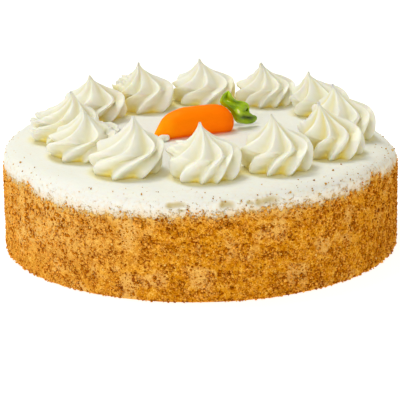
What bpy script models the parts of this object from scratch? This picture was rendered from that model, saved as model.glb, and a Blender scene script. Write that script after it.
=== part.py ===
"""Carrot cake: a round cake covered in cream, twelve piped cream swirls in a ring on its top, a sugar
carrot with green leaves in the middle, and a dab of cream beside the carrot. Metres, +Z up, origin at the centre of the underside."""

import math
from typing import NamedTuple

import bmesh
import bpy
import numpy as np
from mathutils import Vector

MM = 0.001

# ---- the cake ------------------------------------------------------------------------------------
CAKE_R = 125.0 * MM  # side, over the crumb coat
TOP_Z = 67.2 * MM  # flat of the creamed top
FLAT_R = 111.0 * MM  # where the top starts to fall away to its rim
RIM_DROP = 7.5 * MM  # height over which the rim rounds into the side
FOOT_R = 1.6 * MM  # rounding at the bottom edge
SIDE_STEPS = 64
SAG_RIGHT = 7.0 * MM  # how much further the rim sinks at the back right
SAG_LEFT = 1.6 * MM  # and at the left
SAG_FROM = 97.0 * MM  # distance from the middle where it starts to sink
GAP = 0.3 * MM  # between pieces that touch

# ---- the swirls ----------------------------------------------------------------------------------
# The turned outline of a swirl: height up its side over its height, and radius there over its
# radius. It stands on a slightly narrower foot, bulges, has a high shoulder and is drawn up to a peak.
OUTLINE = (
    (0.000, 0.870),
    (0.050, 0.945),
    (0.170, 1.000),
    (0.330, 1.000),
    (0.460, 0.950),
    (0.550, 0.805),
    (0.630, 0.555),
    (0.720, 0.340),
    (0.820, 0.175),
    (0.920, 0.055),
    (1.000, 0.000),
)
FOLD = (0.0, 0.36, 0.72)  # where one lobe is sampled: on its crest, half way and in its groove
GROOVE_AT = 0.72  # a lobe's groove, as a part of the lobe's width from its crest
GROOVE = 0.17  # groove depth over the swirl's radius
FOOT_GROOVE = 1.3  # how much deeper the grooves are where the swirl meets the cake
PEAK_TWIST = 0.45  # twist from shoulder to peak, over the twist from foot to shoulder
FULLER = 0.04  # how much fuller each swirl is on one side
FULLER_AT = math.radians(15.0)


class Swirl(NamedTuple):
    at: float  # angle round the cake, degrees
    out: float  # distance from the middle, mm
    radius: float  # mm
    height: float  # mm
    lean_x: float  # how far the peak leans, mm
    lean_y: float
    lobes: int
    first: float  # direction of the first lobe's foot, degrees
    twist: float  # turn of the lobes from foot to shoulder, degrees
    crowd: float  # how much closer together the lobes are on one side
    crowd_at: float  # and on which side, degrees


SWIRLS = (
    Swirl(88.9, 91.5, 21.8, 28.5, -1.7, -0.8, 8, -100.0, 75.0, 0.10, -60.0),
    Swirl(62.6, 94.6, 20.0, 27.8, -2.2, -3.8, 9, -75.0, 60.0, 0.20, -60.0),
    Swirl(34.2, 96.1, 20.0, 27.5, -8.8, 1.4, 8, -120.0, 60.0, 0.15, -60.0),
    Swirl(-1.9, 89.3, 21.8, 32.0, -5.3, 6.5, 8, -70.0, 60.0, 0.25, -40.0),
    Swirl(-27.9, 90.9, 20.8, 32.3, -7.7, 0.9, 7, -99.0, 60.0, 0.30, -85.0),
    Swirl(-58.0, 85.0, 22.6, 32.3, -2.1, 2.9, 7, -112.0, 58.0, 0.30, -90.0),
    Swirl(-88.7, 87.5, 22.0, 32.5, -2.1, 1.1, 8, -105.0, 55.0, 0.35, -80.0),
    Swirl(-120.6, 88.9, 22.2, 33.0, 5.5, 4.1, 7, -114.0, 90.0, 0.05, -90.0),
    Swirl(-151.7, 82.3, 22.3, 30.2, 1.2, -2.5, 8, -90.0, 85.0, 0.15, 20.0),
    Swirl(180.0, 86.6, 21.8, 31.0, 6.5, -2.3, 8, -120.0, 85.0, 0.15, 90.0),
    Swirl(143.7, 86.2, 21.3, 28.8, -1.5, -2.9, 7, -55.0, 70.0, 0.10, -60.0),
    Swirl(117.0, 82.5, 20.3, 31.0, -2.9, -0.5, 8, -90.0, 70.0, 0.20, 150.0),
)

# ---- the sugar carrot ----------------------------------------------------------------------------
CARROT_TIP = Vector((-29.6 * MM, -7.0 * MM, 0.0))
CARROT_END = Vector((20.6 * MM, 15.6 * MM, 0.0))
CARROT_BOW = 2.6 * MM  # the axis bows away to the back by this
CARROT_R = 9.3 * MM
CARROT_SIT = 0.90  # height of the axis over the radius, so that it rests on a flat
CARROT_END_SIT = 6.3 * MM  # height of the thick end's middle
# radius along the carrot from tip to thick end, over CARROT_R
CARROT_OUTLINE = (
    (0.000, 0.00),
    (0.012, 0.13),
    (0.045, 0.29),
    (0.100, 0.51),
    (0.165, 0.74),
    (0.260, 0.90),
    (0.440, 1.00),
    (0.640, 1.00),
    (0.800, 0.98),
    (0.890, 0.89),
    (0.955, 0.68),
    (0.988, 0.38),
    (1.000, 0.00),
)
CARROT_SIDES = 20

# ---- its leaves: one ruffled strip of green sugar that fans out from the thick end ----------------
LEAF_THICK = 2.4 * MM
# Each rib of the fan, from its back edge to its front one: root and outer edge, in mm past the
# carrot's thick end, to the right of its line, and above the cream
LEAF_RIBS = (
    ((1.9, -3.0, 6.4), (-4.6, -5.8, 17.4)),
    ((1.9, -2.6, 7.6), (-3.8, -6.4, 22.2)),
    ((1.9, -2.0, 8.4), (0.4, -5.8, 24.6)),
    ((2.0, -1.2, 8.6), (2.6, -4.8, 19.0)),
    ((2.1, -0.4, 8.4), (6.4, -3.2, 16.8)),
    ((2.2, 0.2, 8.0), (11.4, -0.4, 15.4)),
    ((2.3, 0.8, 7.4), (11.8, 2.2, 12.4)),
    ((2.3, 1.0, 6.6), (8.6, 3.0, 9.6)),
    ((2.3, 1.0, 5.6), (14.0, 1.4, 9.0)),
    ((2.2, 0.8, 4.4), (19.4, -1.4, 5.2)),
    ((1.4, 0.8, 3.2), (18.4, -2.6, 1.8)),
    ((0.8, 1.0, 2.2), (9.0, 1.6, 1.7)),
)
LEAF_ROWS = 4
LEAF_ARCH = 0.9 * MM  # each rib arches up by this

# ---- the dab of cream in front of the carrot's tip ------------------------------------------------
DAB_AT = (-22.6 * MM, -10.8 * MM)
DAB_HALF = (3.8 * MM, 2.1 * MM, 4.4 * MM)  # half its length and width, and its height
DAB_TURN = math.radians(24.0)

COLOURS = {
    "cream": ((0.93, 0.90, 0.80), 0.45),
    "crumbed_cream": ((0.72, 0.42, 0.14), 0.80),
    "orange_sugar": ((1.00, 0.24, 0.005), 0.40),
    "green_sugar": ((0.19, 0.42, 0.01), 0.25),
}


def clear_scene():
    for obj in list(bpy.data.objects):
        bpy.data.objects.remove(obj)


def material(name):
    colour, roughness = COLOURS[name]
    made = bpy.data.materials.new(name)
    made.use_nodes = True
    shader = made.node_tree.nodes["Principled BSDF"]
    shader.inputs["Base Color"].default_value = (*colour, 1.0)
    shader.inputs["Roughness"].default_value = roughness
    shader.inputs["Metallic"].default_value = 0.0
    return made


def add_object(name, mesh, finish, collection):
    obj = bpy.data.objects.new(name, mesh)
    collection.objects.link(obj)
    mesh.materials.append(finish)
    return obj


def smooth(mesh, angle=40.0):
    mesh.shade_smooth()
    mesh.set_sharp_from_angle(angle=math.radians(angle))


def curve_through(rows, x):
    """A smooth monotone curve through (x, y) rows, read at x."""
    xs = np.array([row[0] for row in rows])
    ys = np.array([row[1] for row in rows])
    step = np.diff(xs)
    slope = np.diff(ys) / step
    tangent = np.zeros(len(xs))
    tangent[0], tangent[-1] = slope[0], slope[-1]
    for i in range(1, len(xs) - 1):
        if slope[i - 1] * slope[i] > 0:
            a, b = 2 * step[i] + step[i - 1], step[i] + 2 * step[i - 1]
            tangent[i] = (a + b) / (a / slope[i - 1] + b / slope[i])
    i = np.clip(np.searchsorted(xs, x) - 1, 0, len(step) - 1)
    h = (x - xs[i]) / step[i]
    return (
        ys[i] * (1 + 2 * h) * (1 - h) ** 2
        + tangent[i] * step[i] * h * (1 - h) ** 2
        + ys[i + 1] * h * h * (3 - 2 * h)
        + tangent[i + 1] * step[i] * h * h * (h - 1)
    )


# ---- the cake ------------------------------------------------------------------------------------
def cake_outline():
    """The turned profile, from the middle of the top, over the rim and down to the underside."""
    points = [(0.0, TOP_Z), (SAG_FROM, TOP_Z), (0.5 * (SAG_FROM + FLAT_R), TOP_Z), (FLAT_R, TOP_Z)]
    steps = 6
    for i in range(1, steps + 1):
        a = 0.5 * math.pi * i / steps
        fall = (1.0 - math.cos(a)) ** 1.15
        points.append((FLAT_R + (CAKE_R - FLAT_R) * math.sin(a) ** 0.92, TOP_Z - RIM_DROP * fall))
    points.append((CAKE_R, FOOT_R))
    points.append((CAKE_R - 0.3 * FOOT_R, 0.3 * FOOT_R))
    points.append((CAKE_R - FOOT_R, 0.0))
    points.append((0.0, 0.0))
    return points


def ease(low, high, x):
    t = max(0.0, min(1.0, (x - low) / (high - low)))
    return t * t * (3.0 - 2.0 * t)


def sunk(x, y, z):
    """The height of a point of the cake once its rim has sunk, most of all at the back right."""
    angle = math.degrees(math.atan2(y, x))
    right = ease(-28.0, 8.0, angle) * (1.0 - ease(48.0, 85.0, angle))
    left = ease(135.0, 165.0, abs(angle))
    edge = ease(SAG_FROM, CAKE_R, math.hypot(x, y)) ** 1.6
    share = min(1.1, max(0.0, z / (TOP_Z - RIM_DROP)))
    return z - (SAG_RIGHT * right + SAG_LEFT * left) * edge * share


def make_cake(collection, finish):
    outline = cake_outline()
    bm = bmesh.new()
    top = bm.verts.new((0.0, 0.0, outline[0][1]))
    rings = []
    for r, z in outline[1:-1]:
        ring = []
        for side in range(SIDE_STEPS):
            angle = 2.0 * math.pi * side / SIDE_STEPS
            x, y = r * math.cos(angle), r * math.sin(angle)
            ring.append(bm.verts.new((x, y, sunk(x, y, z))))
        rings.append(ring)
    bottom = bm.verts.new((0.0, 0.0, outline[-1][1]))
    for side in range(SIDE_STEPS):
        after = (side + 1) % SIDE_STEPS
        bm.faces.new((top, rings[0][side], rings[0][after]))
        for upper, lower in zip(rings, rings[1:]):
            bm.faces.new((upper[side], lower[side], lower[after], upper[after]))
        bm.faces.new((bottom, rings[-1][after], rings[-1][side]))
    bmesh.ops.recalc_face_normals(bm, faces=bm.faces)
    mesh = bpy.data.meshes.new("cake")
    bm.to_mesh(mesh)
    bm.free()
    smooth(mesh, 50.0)
    return add_object("cake", mesh, finish, collection)


# ---- the swirls ----------------------------------------------------------------------------------
def swirl_centre(index):
    swirl = SWIRLS[index % len(SWIRLS)]
    angle = math.radians(swirl.at)
    return swirl.out * MM * math.cos(angle), swirl.out * MM * math.sin(angle)


def press_apart(x, y, index):
    """Where two swirls meet they flatten against each other, and stay GAP apart."""
    here = swirl_centre(index)
    for other in (index - 1, (index + 1) % len(SWIRLS)):
        there = swirl_centre(other)
        dx, dy = there[0] - here[0], there[1] - here[1]
        apart = math.hypot(dx, dy)
        dx, dy = dx / apart, dy / apart
        mine, theirs = SWIRLS[index].radius, SWIRLS[other].radius
        limit = apart * mine / (mine + theirs) - 0.5 * GAP
        soft = 1.4 * MM
        over = (x - here[0]) * dx + (y - here[1]) * dy - (limit - soft)
        if over > 0:
            pushed = over - soft * (1.0 - math.exp(-over / soft))
            x, y = x - pushed * dx, y - pushed * dy
    return x, y


def groove_at(fold):
    """0 on a lobe's crest, 1 in its groove. The crest is near one side, as the nozzle turned."""
    if fold <= GROOVE_AT:
        return 1.0 - math.cos(0.5 * math.pi * fold / GROOVE_AT)
    return 1.0 - math.sin(0.5 * math.pi * (fold - GROOVE_AT) / (1.0 - GROOVE_AT))


def step_up(x, middle, width):
    return 1.0 / (1.0 + math.exp(-(x - middle) / width))


def swirl_point(index, lobe, fold, t):
    """A point of a swirl: a lobe, the place across it from 0 to 1, and t from foot to peak."""
    swirl = SWIRLS[index]
    radius, height = swirl.radius * MM, swirl.height * MM
    r = radius * float(curve_through(OUTLINE, t))
    z = height * t
    # the outline's outward normal, which the grooves are cut along
    low, high = max(t - 0.01, 0.0), min(t + 0.01, 1.0)
    dr = radius * float(curve_through(OUTLINE, high) - curve_through(OUTLINE, low))
    dz = height * (high - low)
    normal_r, normal_z = dz / math.hypot(dr, dz), -dr / math.hypot(dr, dz)
    uneven = math.sin(3.1 * lobe + 1.7 * index)
    depth = GROOVE * radius * (1.0 + 0.2 * uneven) * min(1.0, r / (0.42 * radius))
    depth *= 1.0 + (FOOT_GROOVE - 1.0) * max(0.0, 1.0 - t / 0.15)
    r -= depth * groove_at(fold) * normal_r
    z = max(0.0, z - depth * groove_at(fold) * normal_z * min(1.0, 5.0 * t))
    # direction of this point: its lobe's foot, crowded to one side, and then the twist
    even = 2.0 * math.pi * (lobe + fold + 0.10 * uneven * (1.0 - fold)) / swirl.lobes
    crowd_at = math.radians(swirl.crowd_at)
    base = math.radians(swirl.first) + even
    theta = base - swirl.crowd * math.sin(base - crowd_at)
    twist = 0.30 * min(t / 0.5, 1.0) + 0.70 * step_up(t, 0.44, 0.10) + PEAK_TWIST * step_up(t, 0.80, 0.07)
    theta += math.radians(swirl.twist) * twist
    side = FULLER * math.cos(theta - FULLER_AT)
    r *= 1.0 + side
    z *= 1.0 + 1.2 * side * math.exp(-(((t - 0.5) / 0.22) ** 2))
    bend = max(0.0, t - 0.12) / 0.88
    bend = bend * bend * (3.0 - 2.0 * bend)
    x, y = swirl_centre(index)
    x += r * math.cos(theta) + swirl.lean_x * MM * bend
    y += r * math.sin(theta) + swirl.lean_y * MM * bend
    x, y = press_apart(x, y, index)
    return Vector((x, y, TOP_Z + GAP + z))


def make_swirl(index, collection, finish):
    """A ball of rings, each of whose points goes to its place on the swirl."""
    levels = [t for t, _ in OUTLINE]
    rings = len(levels)
    sides = SWIRLS[index].lobes * len(FOLD)
    bm = bmesh.new()
    bmesh.ops.create_uvsphere(bm, u_segments=sides, v_segments=rings, radius=1.0)
    for vert in bm.verts:
        ring = round(math.acos(max(-1.0, min(1.0, vert.co.z))) / math.pi * rings)
        if ring == rings:
            vert.co = (*swirl_centre(index), TOP_Z + GAP)
            continue
        side = round(math.atan2(vert.co.y, vert.co.x) / (2.0 * math.pi) * sides) % sides
        lobe, step = divmod(side, len(FOLD)) if ring else (0, 0)
        vert.co = swirl_point(index, lobe, FOLD[step], levels[rings - 1 - ring])
    mesh = bpy.data.meshes.new("swirl")
    bm.to_mesh(mesh)
    bm.free()
    smooth(mesh, 50.0)
    return add_object(f"swirl_{index + 1:02d}", mesh, finish, collection)


# ---- the carrot ----------------------------------------------------------------------------------
def carrot_axis(t):
    """The axis at t from tip to thick end, and the carrot's radius there."""
    along = (CARROT_END - CARROT_TIP).normalized()
    back = Vector((-along.y, along.x, 0.0))
    point = CARROT_TIP.lerp(CARROT_END, t) + back * (CARROT_BOW * math.sin(math.pi * t))
    return point, along, back, CARROT_R * float(curve_through(CARROT_OUTLINE, t))


def make_carrot(collection, finish):
    rings = 16
    bm = bmesh.new()
    bmesh.ops.create_uvsphere(bm, u_segments=CARROT_SIDES, v_segments=rings, radius=1.0)
    for vert in bm.verts:
        ring = round(math.acos(max(-1.0, min(1.0, vert.co.z))) / math.pi * rings)
        angle = math.atan2(vert.co.y, vert.co.x)
        t = 0.5 - 0.5 * math.cos(math.pi * ring / rings)
        point, _, back, r = carrot_axis(t)
        sit = max(CARROT_SIT * max(r, 1.1 * MM), CARROT_END_SIT * step_up(t, 0.80, 0.05))
        z = sit + r * math.sin(angle)
        point = point + back * (r * math.cos(angle))
        vert.co = (point.x, point.y, TOP_Z + GAP + max(0.0, z))
    bmesh.ops.recalc_face_normals(bm, faces=bm.faces)
    mesh = bpy.data.meshes.new("carrot")
    bm.to_mesh(mesh)
    bm.free()
    smooth(mesh, 50.0)
    return add_object("carrot", mesh, finish, collection)


# ---- the leaves ----------------------------------------------------------------------------------
def leaf_point(rib, row):
    """A point of the fan: on one rib, with row from 0 at its root to 1 at its outer edge."""
    along = (CARROT_END - CARROT_TIP).normalized()
    right = Vector((along.y, -along.x, 0.0))
    root, edge = (Vector(end) * MM for end in LEAF_RIBS[rib])
    past, aside, above = root.lerp(edge, row)
    above += LEAF_ARCH * math.sin(math.pi * row)
    return CARROT_END + along * past + right * aside + Vector((0.0, 0.0, TOP_Z + above))


def make_leaves(collection, finish):
    columns = len(LEAF_RIBS)
    bm = bmesh.new()
    bmesh.ops.create_grid(bm, x_segments=columns - 1, y_segments=LEAF_ROWS - 1, size=1.0)
    for vert in bm.verts:
        rib = round((vert.co.x + 1.0) / 2.0 * (columns - 1))
        row = (vert.co.y + 1.0) / 2.0
        vert.co = leaf_point(rib, row)
    mesh = bpy.data.meshes.new("leaves")
    bm.to_mesh(mesh)
    bm.free()
    obj = add_object("leaves", mesh, finish, collection)
    thick = obj.modifiers.new("thickness", "SOLIDIFY")
    thick.thickness = LEAF_THICK
    thick.offset = 0.0
    thick.use_even_offset = False
    soft = obj.modifiers.new("soft", "SUBSURF")
    soft.levels = soft.render_levels = 1
    smooth(mesh, 180.0)
    return obj


def make_dab(collection, finish):
    bm = bmesh.new()
    bmesh.ops.create_icosphere(bm, subdivisions=2, radius=1.0)
    for vert in bm.verts:
        x, y, z = vert.co.x * DAB_HALF[0], vert.co.y * DAB_HALF[1], 0.5 * (vert.co.z + 1.0) * DAB_HALF[2]
        vert.co = (
            DAB_AT[0] + x * math.cos(DAB_TURN) - y * math.sin(DAB_TURN),
            DAB_AT[1] + x * math.sin(DAB_TURN) + y * math.cos(DAB_TURN),
            TOP_Z + GAP + z,
        )
    mesh = bpy.data.meshes.new("cream_dab")
    bm.to_mesh(mesh)
    bm.free()
    smooth(mesh, 50.0)
    return add_object("cream_dab", mesh, finish, collection)


def main():
    clear_scene()
    collection = bpy.data.collections.new("carrot_cake")
    bpy.context.scene.collection.children.link(collection)
    finishes = {name: material(name) for name in COLOURS}
    make_cake(collection, finishes["crumbed_cream"])
    for index in range(len(SWIRLS)):
        make_swirl(index, collection, finishes["cream"])
    make_carrot(collection, finishes["orange_sugar"])
    make_leaves(collection, finishes["green_sugar"])
    make_dab(collection, finishes["cream"])


main()
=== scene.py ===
"""Looks of the carrot cake: cream, crumbs, piped swirls, sugar carrot and its leaves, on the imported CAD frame."""

import math

import bmesh
import bpy
import numpy as np
from mathutils import Matrix, Vector


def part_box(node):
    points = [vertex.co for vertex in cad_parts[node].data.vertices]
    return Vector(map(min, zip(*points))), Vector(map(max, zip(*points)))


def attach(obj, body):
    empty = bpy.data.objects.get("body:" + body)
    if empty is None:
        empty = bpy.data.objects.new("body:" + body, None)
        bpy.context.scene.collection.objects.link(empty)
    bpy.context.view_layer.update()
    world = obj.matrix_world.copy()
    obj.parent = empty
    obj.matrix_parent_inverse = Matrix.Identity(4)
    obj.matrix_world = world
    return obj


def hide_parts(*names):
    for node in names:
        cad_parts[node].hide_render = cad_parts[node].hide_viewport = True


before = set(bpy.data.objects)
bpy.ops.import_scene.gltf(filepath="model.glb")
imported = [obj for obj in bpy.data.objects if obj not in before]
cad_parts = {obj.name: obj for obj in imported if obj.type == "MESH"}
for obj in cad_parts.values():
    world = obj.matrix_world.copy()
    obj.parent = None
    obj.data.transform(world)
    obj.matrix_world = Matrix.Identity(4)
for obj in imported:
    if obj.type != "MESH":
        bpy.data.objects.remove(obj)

MM = 0.001
scene = bpy.context.scene


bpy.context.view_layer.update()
CAKE_LOW, CAKE_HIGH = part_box("cake")
TOP_Z = CAKE_HIGH.z
CAKE_R = CAKE_HIGH.x

# =================================================================================================
# helpers
# =================================================================================================


def smoothstep(a, b, x):
    t = np.clip((x - a) / (b - a), 0.0, 1.0)
    return t * t * (3.0 - 2.0 * t)


def hash01(i, j, k, seed):
    """A repeatable random number from 0 to 1 for each whole-number point."""
    n = (i * 374761393 + j * 668265263 + k * 2147483647 + seed * 974634777) & 0xFFFFFFFF
    n = ((n ^ (n >> 13)) * 1274126177) & 0xFFFFFFFF
    n = ((n ^ (n >> 16)) * 2246822519) & 0xFFFFFFFF
    return ((n ^ (n >> 15)) & 0xFFFFFF) / float(0xFFFFFF)


def noise(p, seed=0):
    """Smooth noise from -1 to 1 at points p, with features one unit wide."""
    p = np.asarray(p, float)
    whole = np.floor(p).astype(np.int64)
    f = p - whole
    f = f * f * f * (f * (f * 6.0 - 15.0) + 10.0)
    out = np.zeros(len(p))
    for dx in (0, 1):
        wx = f[:, 0] if dx else 1.0 - f[:, 0]
        for dy in (0, 1):
            wy = f[:, 1] if dy else 1.0 - f[:, 1]
            for dz in (0, 1):
                wz = f[:, 2] if dz else 1.0 - f[:, 2]
                out += wx * wy * wz * hash01(whole[:, 0] + dx, whole[:, 1] + dy, whole[:, 2] + dz, seed)
    return 2.0 * out - 1.0


def layered(p, seed=0, layers=3):
    out, size, total = 0.0, 1.0, 0.0
    for i in range(layers):
        out = out + size * noise(np.asarray(p) * (2.03**i) + 7.3 * i, seed + i)
        total += size
        size *= 0.5
    return out / total


def curve_through(rows, x):
    """A smooth monotone curve through (x, y) rows, read at x."""
    xs = np.array([row[0] for row in rows], float)
    ys = np.array([row[1] for row in rows], float)
    step = np.diff(xs)
    slope = np.diff(ys) / step
    tangent = np.zeros(len(xs))
    tangent[0], tangent[-1] = slope[0], slope[-1]
    for i in range(1, len(xs) - 1):
        if slope[i - 1] * slope[i] > 0:
            a, b = 2 * step[i] + step[i - 1], step[i] + 2 * step[i - 1]
            tangent[i] = (a + b) / (a / slope[i - 1] + b / slope[i])
    x = np.asarray(x, float)
    i = np.clip(np.searchsorted(xs, x) - 1, 0, len(step) - 1)
    h = (x - xs[i]) / step[i]
    return (
        ys[i] * (1 + 2 * h) * (1 - h) ** 2
        + tangent[i] * step[i] * h * (1 - h) ** 2
        + ys[i + 1] * h * h * (3 - 2 * h)
        + tangent[i + 1] * step[i] * h * h * (h - 1)
    )


def build(name, verts, faces, attributes=None, smooth=True):
    """A mesh object from arrays. faces is a list of arrays of one face size each."""
    mesh = bpy.data.meshes.new(name)
    verts = np.asarray(verts, np.float32)
    mesh.vertices.add(len(verts))
    mesh.vertices.foreach_set("co", verts.ravel())
    loops = np.concatenate([np.asarray(f, np.int32).ravel() for f in faces])
    sizes = np.concatenate([np.full(len(f), np.asarray(f).shape[1], np.int32) for f in faces])
    starts = np.concatenate([[0], np.cumsum(sizes)[:-1]]).astype(np.int32)
    mesh.loops.add(len(loops))
    mesh.loops.foreach_set("vertex_index", loops)
    mesh.polygons.add(len(sizes))
    mesh.polygons.foreach_set("loop_start", starts)
    mesh.polygons.foreach_set("loop_total", sizes)
    mesh.update(calc_edges=True)
    mesh.validate()
    if smooth:
        mesh.shade_smooth()
    for key, values in (attributes or {}).items():
        layer = mesh.attributes.new(key, "FLOAT", "POINT")
        layer.data.foreach_set("value", np.asarray(values, np.float32))
    obj = bpy.data.objects.new(name, mesh)
    scene.collection.objects.link(obj)
    return obj


def grid_faces(rows, columns, wrap=True, first=0):
    """Quads between rows of points, each row holding columns points, closed round if wrap."""
    r = np.arange(rows - 1)[:, None]
    c = np.arange(columns if wrap else columns - 1)[None, :]
    n = (c + 1) % columns
    a = first + r * columns + c
    b = first + r * columns + n
    d = first + (r + 1) * columns + c
    e = first + (r + 1) * columns + n
    return np.stack([a, b, e, d], axis=-1).reshape(-1, 4)


# =================================================================================================
# materials
# =================================================================================================


class Nodes:
    """A material's node tree, with short calls for the nodes used here."""

    def __init__(self, name):
        self.mat = bpy.data.materials.new(name)
        self.mat.use_nodes = True
        self.tree = self.mat.node_tree
        self.shader = self.tree.nodes["Principled BSDF"]

    def new(self, kind, **settings):
        node = self.tree.nodes.new(kind)
        for key, value in settings.items():
            setattr(node, key, value)
        return node

    def link(self, a, b):
        self.tree.links.new(a, b)

    def feed(self, socket, value):
        if hasattr(value, "is_linked"):
            self.link(value, socket)
        else:
            socket.default_value = value

    def place(self):
        return self.new("ShaderNodeTexCoord").outputs["Object"]

    def attribute(self, name):
        return self.new("ShaderNodeAttribute", attribute_name=name).outputs["Fac"]

    def noise(self, scale, detail=3.0, rough=0.5, distort=0.0, vector=None):
        node = self.new("ShaderNodeTexNoise")
        self.link(vector or self.place(), node.inputs["Vector"])
        node.inputs["Scale"].default_value = scale
        node.inputs["Detail"].default_value = detail
        node.inputs["Roughness"].default_value = rough
        node.inputs["Distortion"].default_value = distort
        return node.outputs["Fac"]

    def cells(self, scale, feature="F1", output="Distance", random=1.0):
        node = self.new("ShaderNodeTexVoronoi", feature=feature)
        self.link(self.place(), node.inputs["Vector"])
        node.inputs["Scale"].default_value = scale
        node.inputs["Randomness"].default_value = random
        return node.outputs[output]

    def math(self, operation, a, b=None, clamp=False):
        node = self.new("ShaderNodeMath", operation=operation, use_clamp=clamp)
        self.feed(node.inputs[0], a)
        if b is not None:
            self.feed(node.inputs[1], b)
        return node.outputs[0]

    def span(self, value, low, high, to_low=0.0, to_high=1.0, smooth=False):
        node = self.new("ShaderNodeMapRange", interpolation_type="SMOOTHSTEP" if smooth else "LINEAR")
        node.clamp = True
        self.feed(node.inputs["Value"], value)
        for key, v in (("From Min", low), ("From Max", high), ("To Min", to_low), ("To Max", to_high)):
            self.feed(node.inputs[key], v)
        return node.outputs["Result"]

    def mix(self, factor, a, b, blend="MIX"):
        node = self.new("ShaderNodeMix", data_type="RGBA", blend_type=blend)
        self.feed(node.inputs["Factor"], factor)
        colours = [s for s in node.inputs if s.type == "RGBA"]
        for socket, value in zip(colours, (a, b)):
            if hasattr(value, "is_linked"):
                self.link(value, socket)
            else:
                socket.default_value = (*value, 1.0)
        return [s for s in node.outputs if s.type == "RGBA"][0]

    def ramp(self, value, stops):
        node = self.new("ShaderNodeValToRGB")
        self.feed(node.inputs["Fac"], value)
        points = node.color_ramp.elements
        while len(points) < len(stops):
            points.new(0.5)
        for point, (at, colour) in zip(points, stops):
            point.position = at
            point.color = (*colour, 1.0)
        return node.outputs["Color"]

    def bump(self, height, distance, strength=1.0, after=None):
        node = self.new("ShaderNodeBump")
        self.link(height, node.inputs["Height"])
        node.inputs["Distance"].default_value = distance
        node.inputs["Strength"].default_value = strength
        if after is not None:
            self.link(after, node.inputs["Normal"])
        return node.outputs["Normal"]

    def set(self, **values):
        for key, value in values.items():
            socket = self.shader.inputs[key.replace("_", " ")]
            if hasattr(value, "is_linked"):
                self.link(value, socket)
            elif socket.type == "RGBA":
                socket.default_value = (*value, 1.0)
            else:
                socket.default_value = value


CREAM = (0.840, 0.835, 0.775)
CREAM_SPREAD = (0.840, 0.845, 0.820)
# painted shade: the warm, gold and deep yellows colour the cream where it lies in folds, at feet and between swirls
CREAM_WARM = (0.800, 0.768, 0.565)
CREAM_GOLD = (0.820, 0.710, 0.270)
CREAM_DEEP = (0.840, 0.640, 0.070)


def cream_colour(m, crevice_shade, open_colour=CREAM):
    """Ivory cream with painted shade: it turns to a warm yellow in its folds, standing in for light that goes through
    it again and again.
    """
    cloudy = m.span(m.noise(160.0, 3.0), 0.35, 0.65, -0.03, 0.03)
    return m.ramp(
        m.math("ADD", crevice_shade, cloudy),
        ((0.06, open_colour), (0.36, CREAM_WARM), (0.68, CREAM_GOLD), (1.0, CREAM_DEEP)),
    )


def cream_material(name="piped_cream"):
    m = Nodes(name)
    # the crevice attribute holds the painted shade of folds, feet and gaps between swirls
    crevice_shade = m.attribute("crevice_shade")
    m.set(
        Base_Color=cream_colour(m, crevice_shade),
        Roughness=m.span(m.noise(420.0, 4.0), 0.3, 0.7, 0.34, 0.48),
        Subsurface_Weight=0.60,
        Subsurface_Radius=(1.0, 0.82, 0.42),
        Subsurface_Scale=0.0036,
        Specular_IOR_Level=0.40,
        # painted glow: a faint yellow emission in the folds and where swirls meet, standing in for light shining
        # through the cream
        Emission_Color=(1.0, 0.82, 0.22),
        Emission_Strength=m.math("ADD", m.span(crevice_shade, 0.40, 1.0, 0.0, 0.09), m.math("MULTIPLY", m.attribute("glow"), 0.24)),
    )
    fine = m.bump(m.noise(1500.0, 3.0, 0.6), 0.00006)
    m.set(Normal=m.bump(m.noise(260.0, 4.0, 0.5), 0.00022, 1.0, after=fine))
    return m.mat


GOLD_DARK = (0.300, 0.058, 0.000)
GOLD_BROWN = (0.520, 0.145, 0.000)
GOLD = (0.780, 0.305, 0.005)
GOLD_LIGHT = (0.970, 0.480, 0.060)
GOLD_PALE = (1.000, 0.630, 0.200)


def crumb_ground(m):
    """The mass of fine crumbs between the larger grains: ochre, and red-brown specks that are partly darker crumbs and
    partly painted shade in the gaps of the coarse clumps.
    """
    clump = m.attribute("clump")
    pale = m.attribute("pale")
    grains = m.noise(1150.0, 3.0, 0.65)
    lumps = m.noise(330.0, 3.0, 0.6)
    tone = m.math("ADD", m.span(grains, 0.30, 0.70, 0.0, 0.55), m.span(lumps, 0.32, 0.68, 0.0, 0.45))
    ground = m.ramp(tone, ((0.12, (1.0, 0.62, 0.13)), (0.30, GOLD_LIGHT), (0.52, GOLD), (0.88, GOLD_BROWN)))
    # paler where cream shows through, and as painted light on the left side
    ground = m.mix(m.math("MULTIPLY", pale, 0.66), ground, GOLD_PALE)
    small = m.math("MULTIPLY", m.noise(560.0, 3.0, 0.62), m.math("SUBTRACT", 1.0, pale))
    large = m.math("MULTIPLY", m.noise(370.0, 3.0, 0.62), pale)
    # red-brown specks, more of them in the coarse clumps as painted shade between the grains
    specks = m.math("ADD", m.math("ADD", small, large), m.span(clump, 0.0, 1.0, -0.05, 0.085))
    dark = m.span(m.math("SUBTRACT", specks, m.math("MULTIPLY", pale, 0.005)), 0.55, 0.66, 0.0, 0.92)
    # where they thin out, the crumbs are light and mixed with cream
    edge = m.span(m.math("ADD", m.attribute("haze"), m.span(m.noise(420.0, 3.0, 0.6), 0.3, 0.7, -0.35, 0.35)), 0.45, 1.85, 0.78, 0.0)
    return m.mix(m.math("MULTIPLY", dark, m.span(edge, 0.0, 0.8, 1.0, 0.55)), m.mix(edge, ground, (0.95, 0.60, 0.17)), GOLD_DARK)


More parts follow.
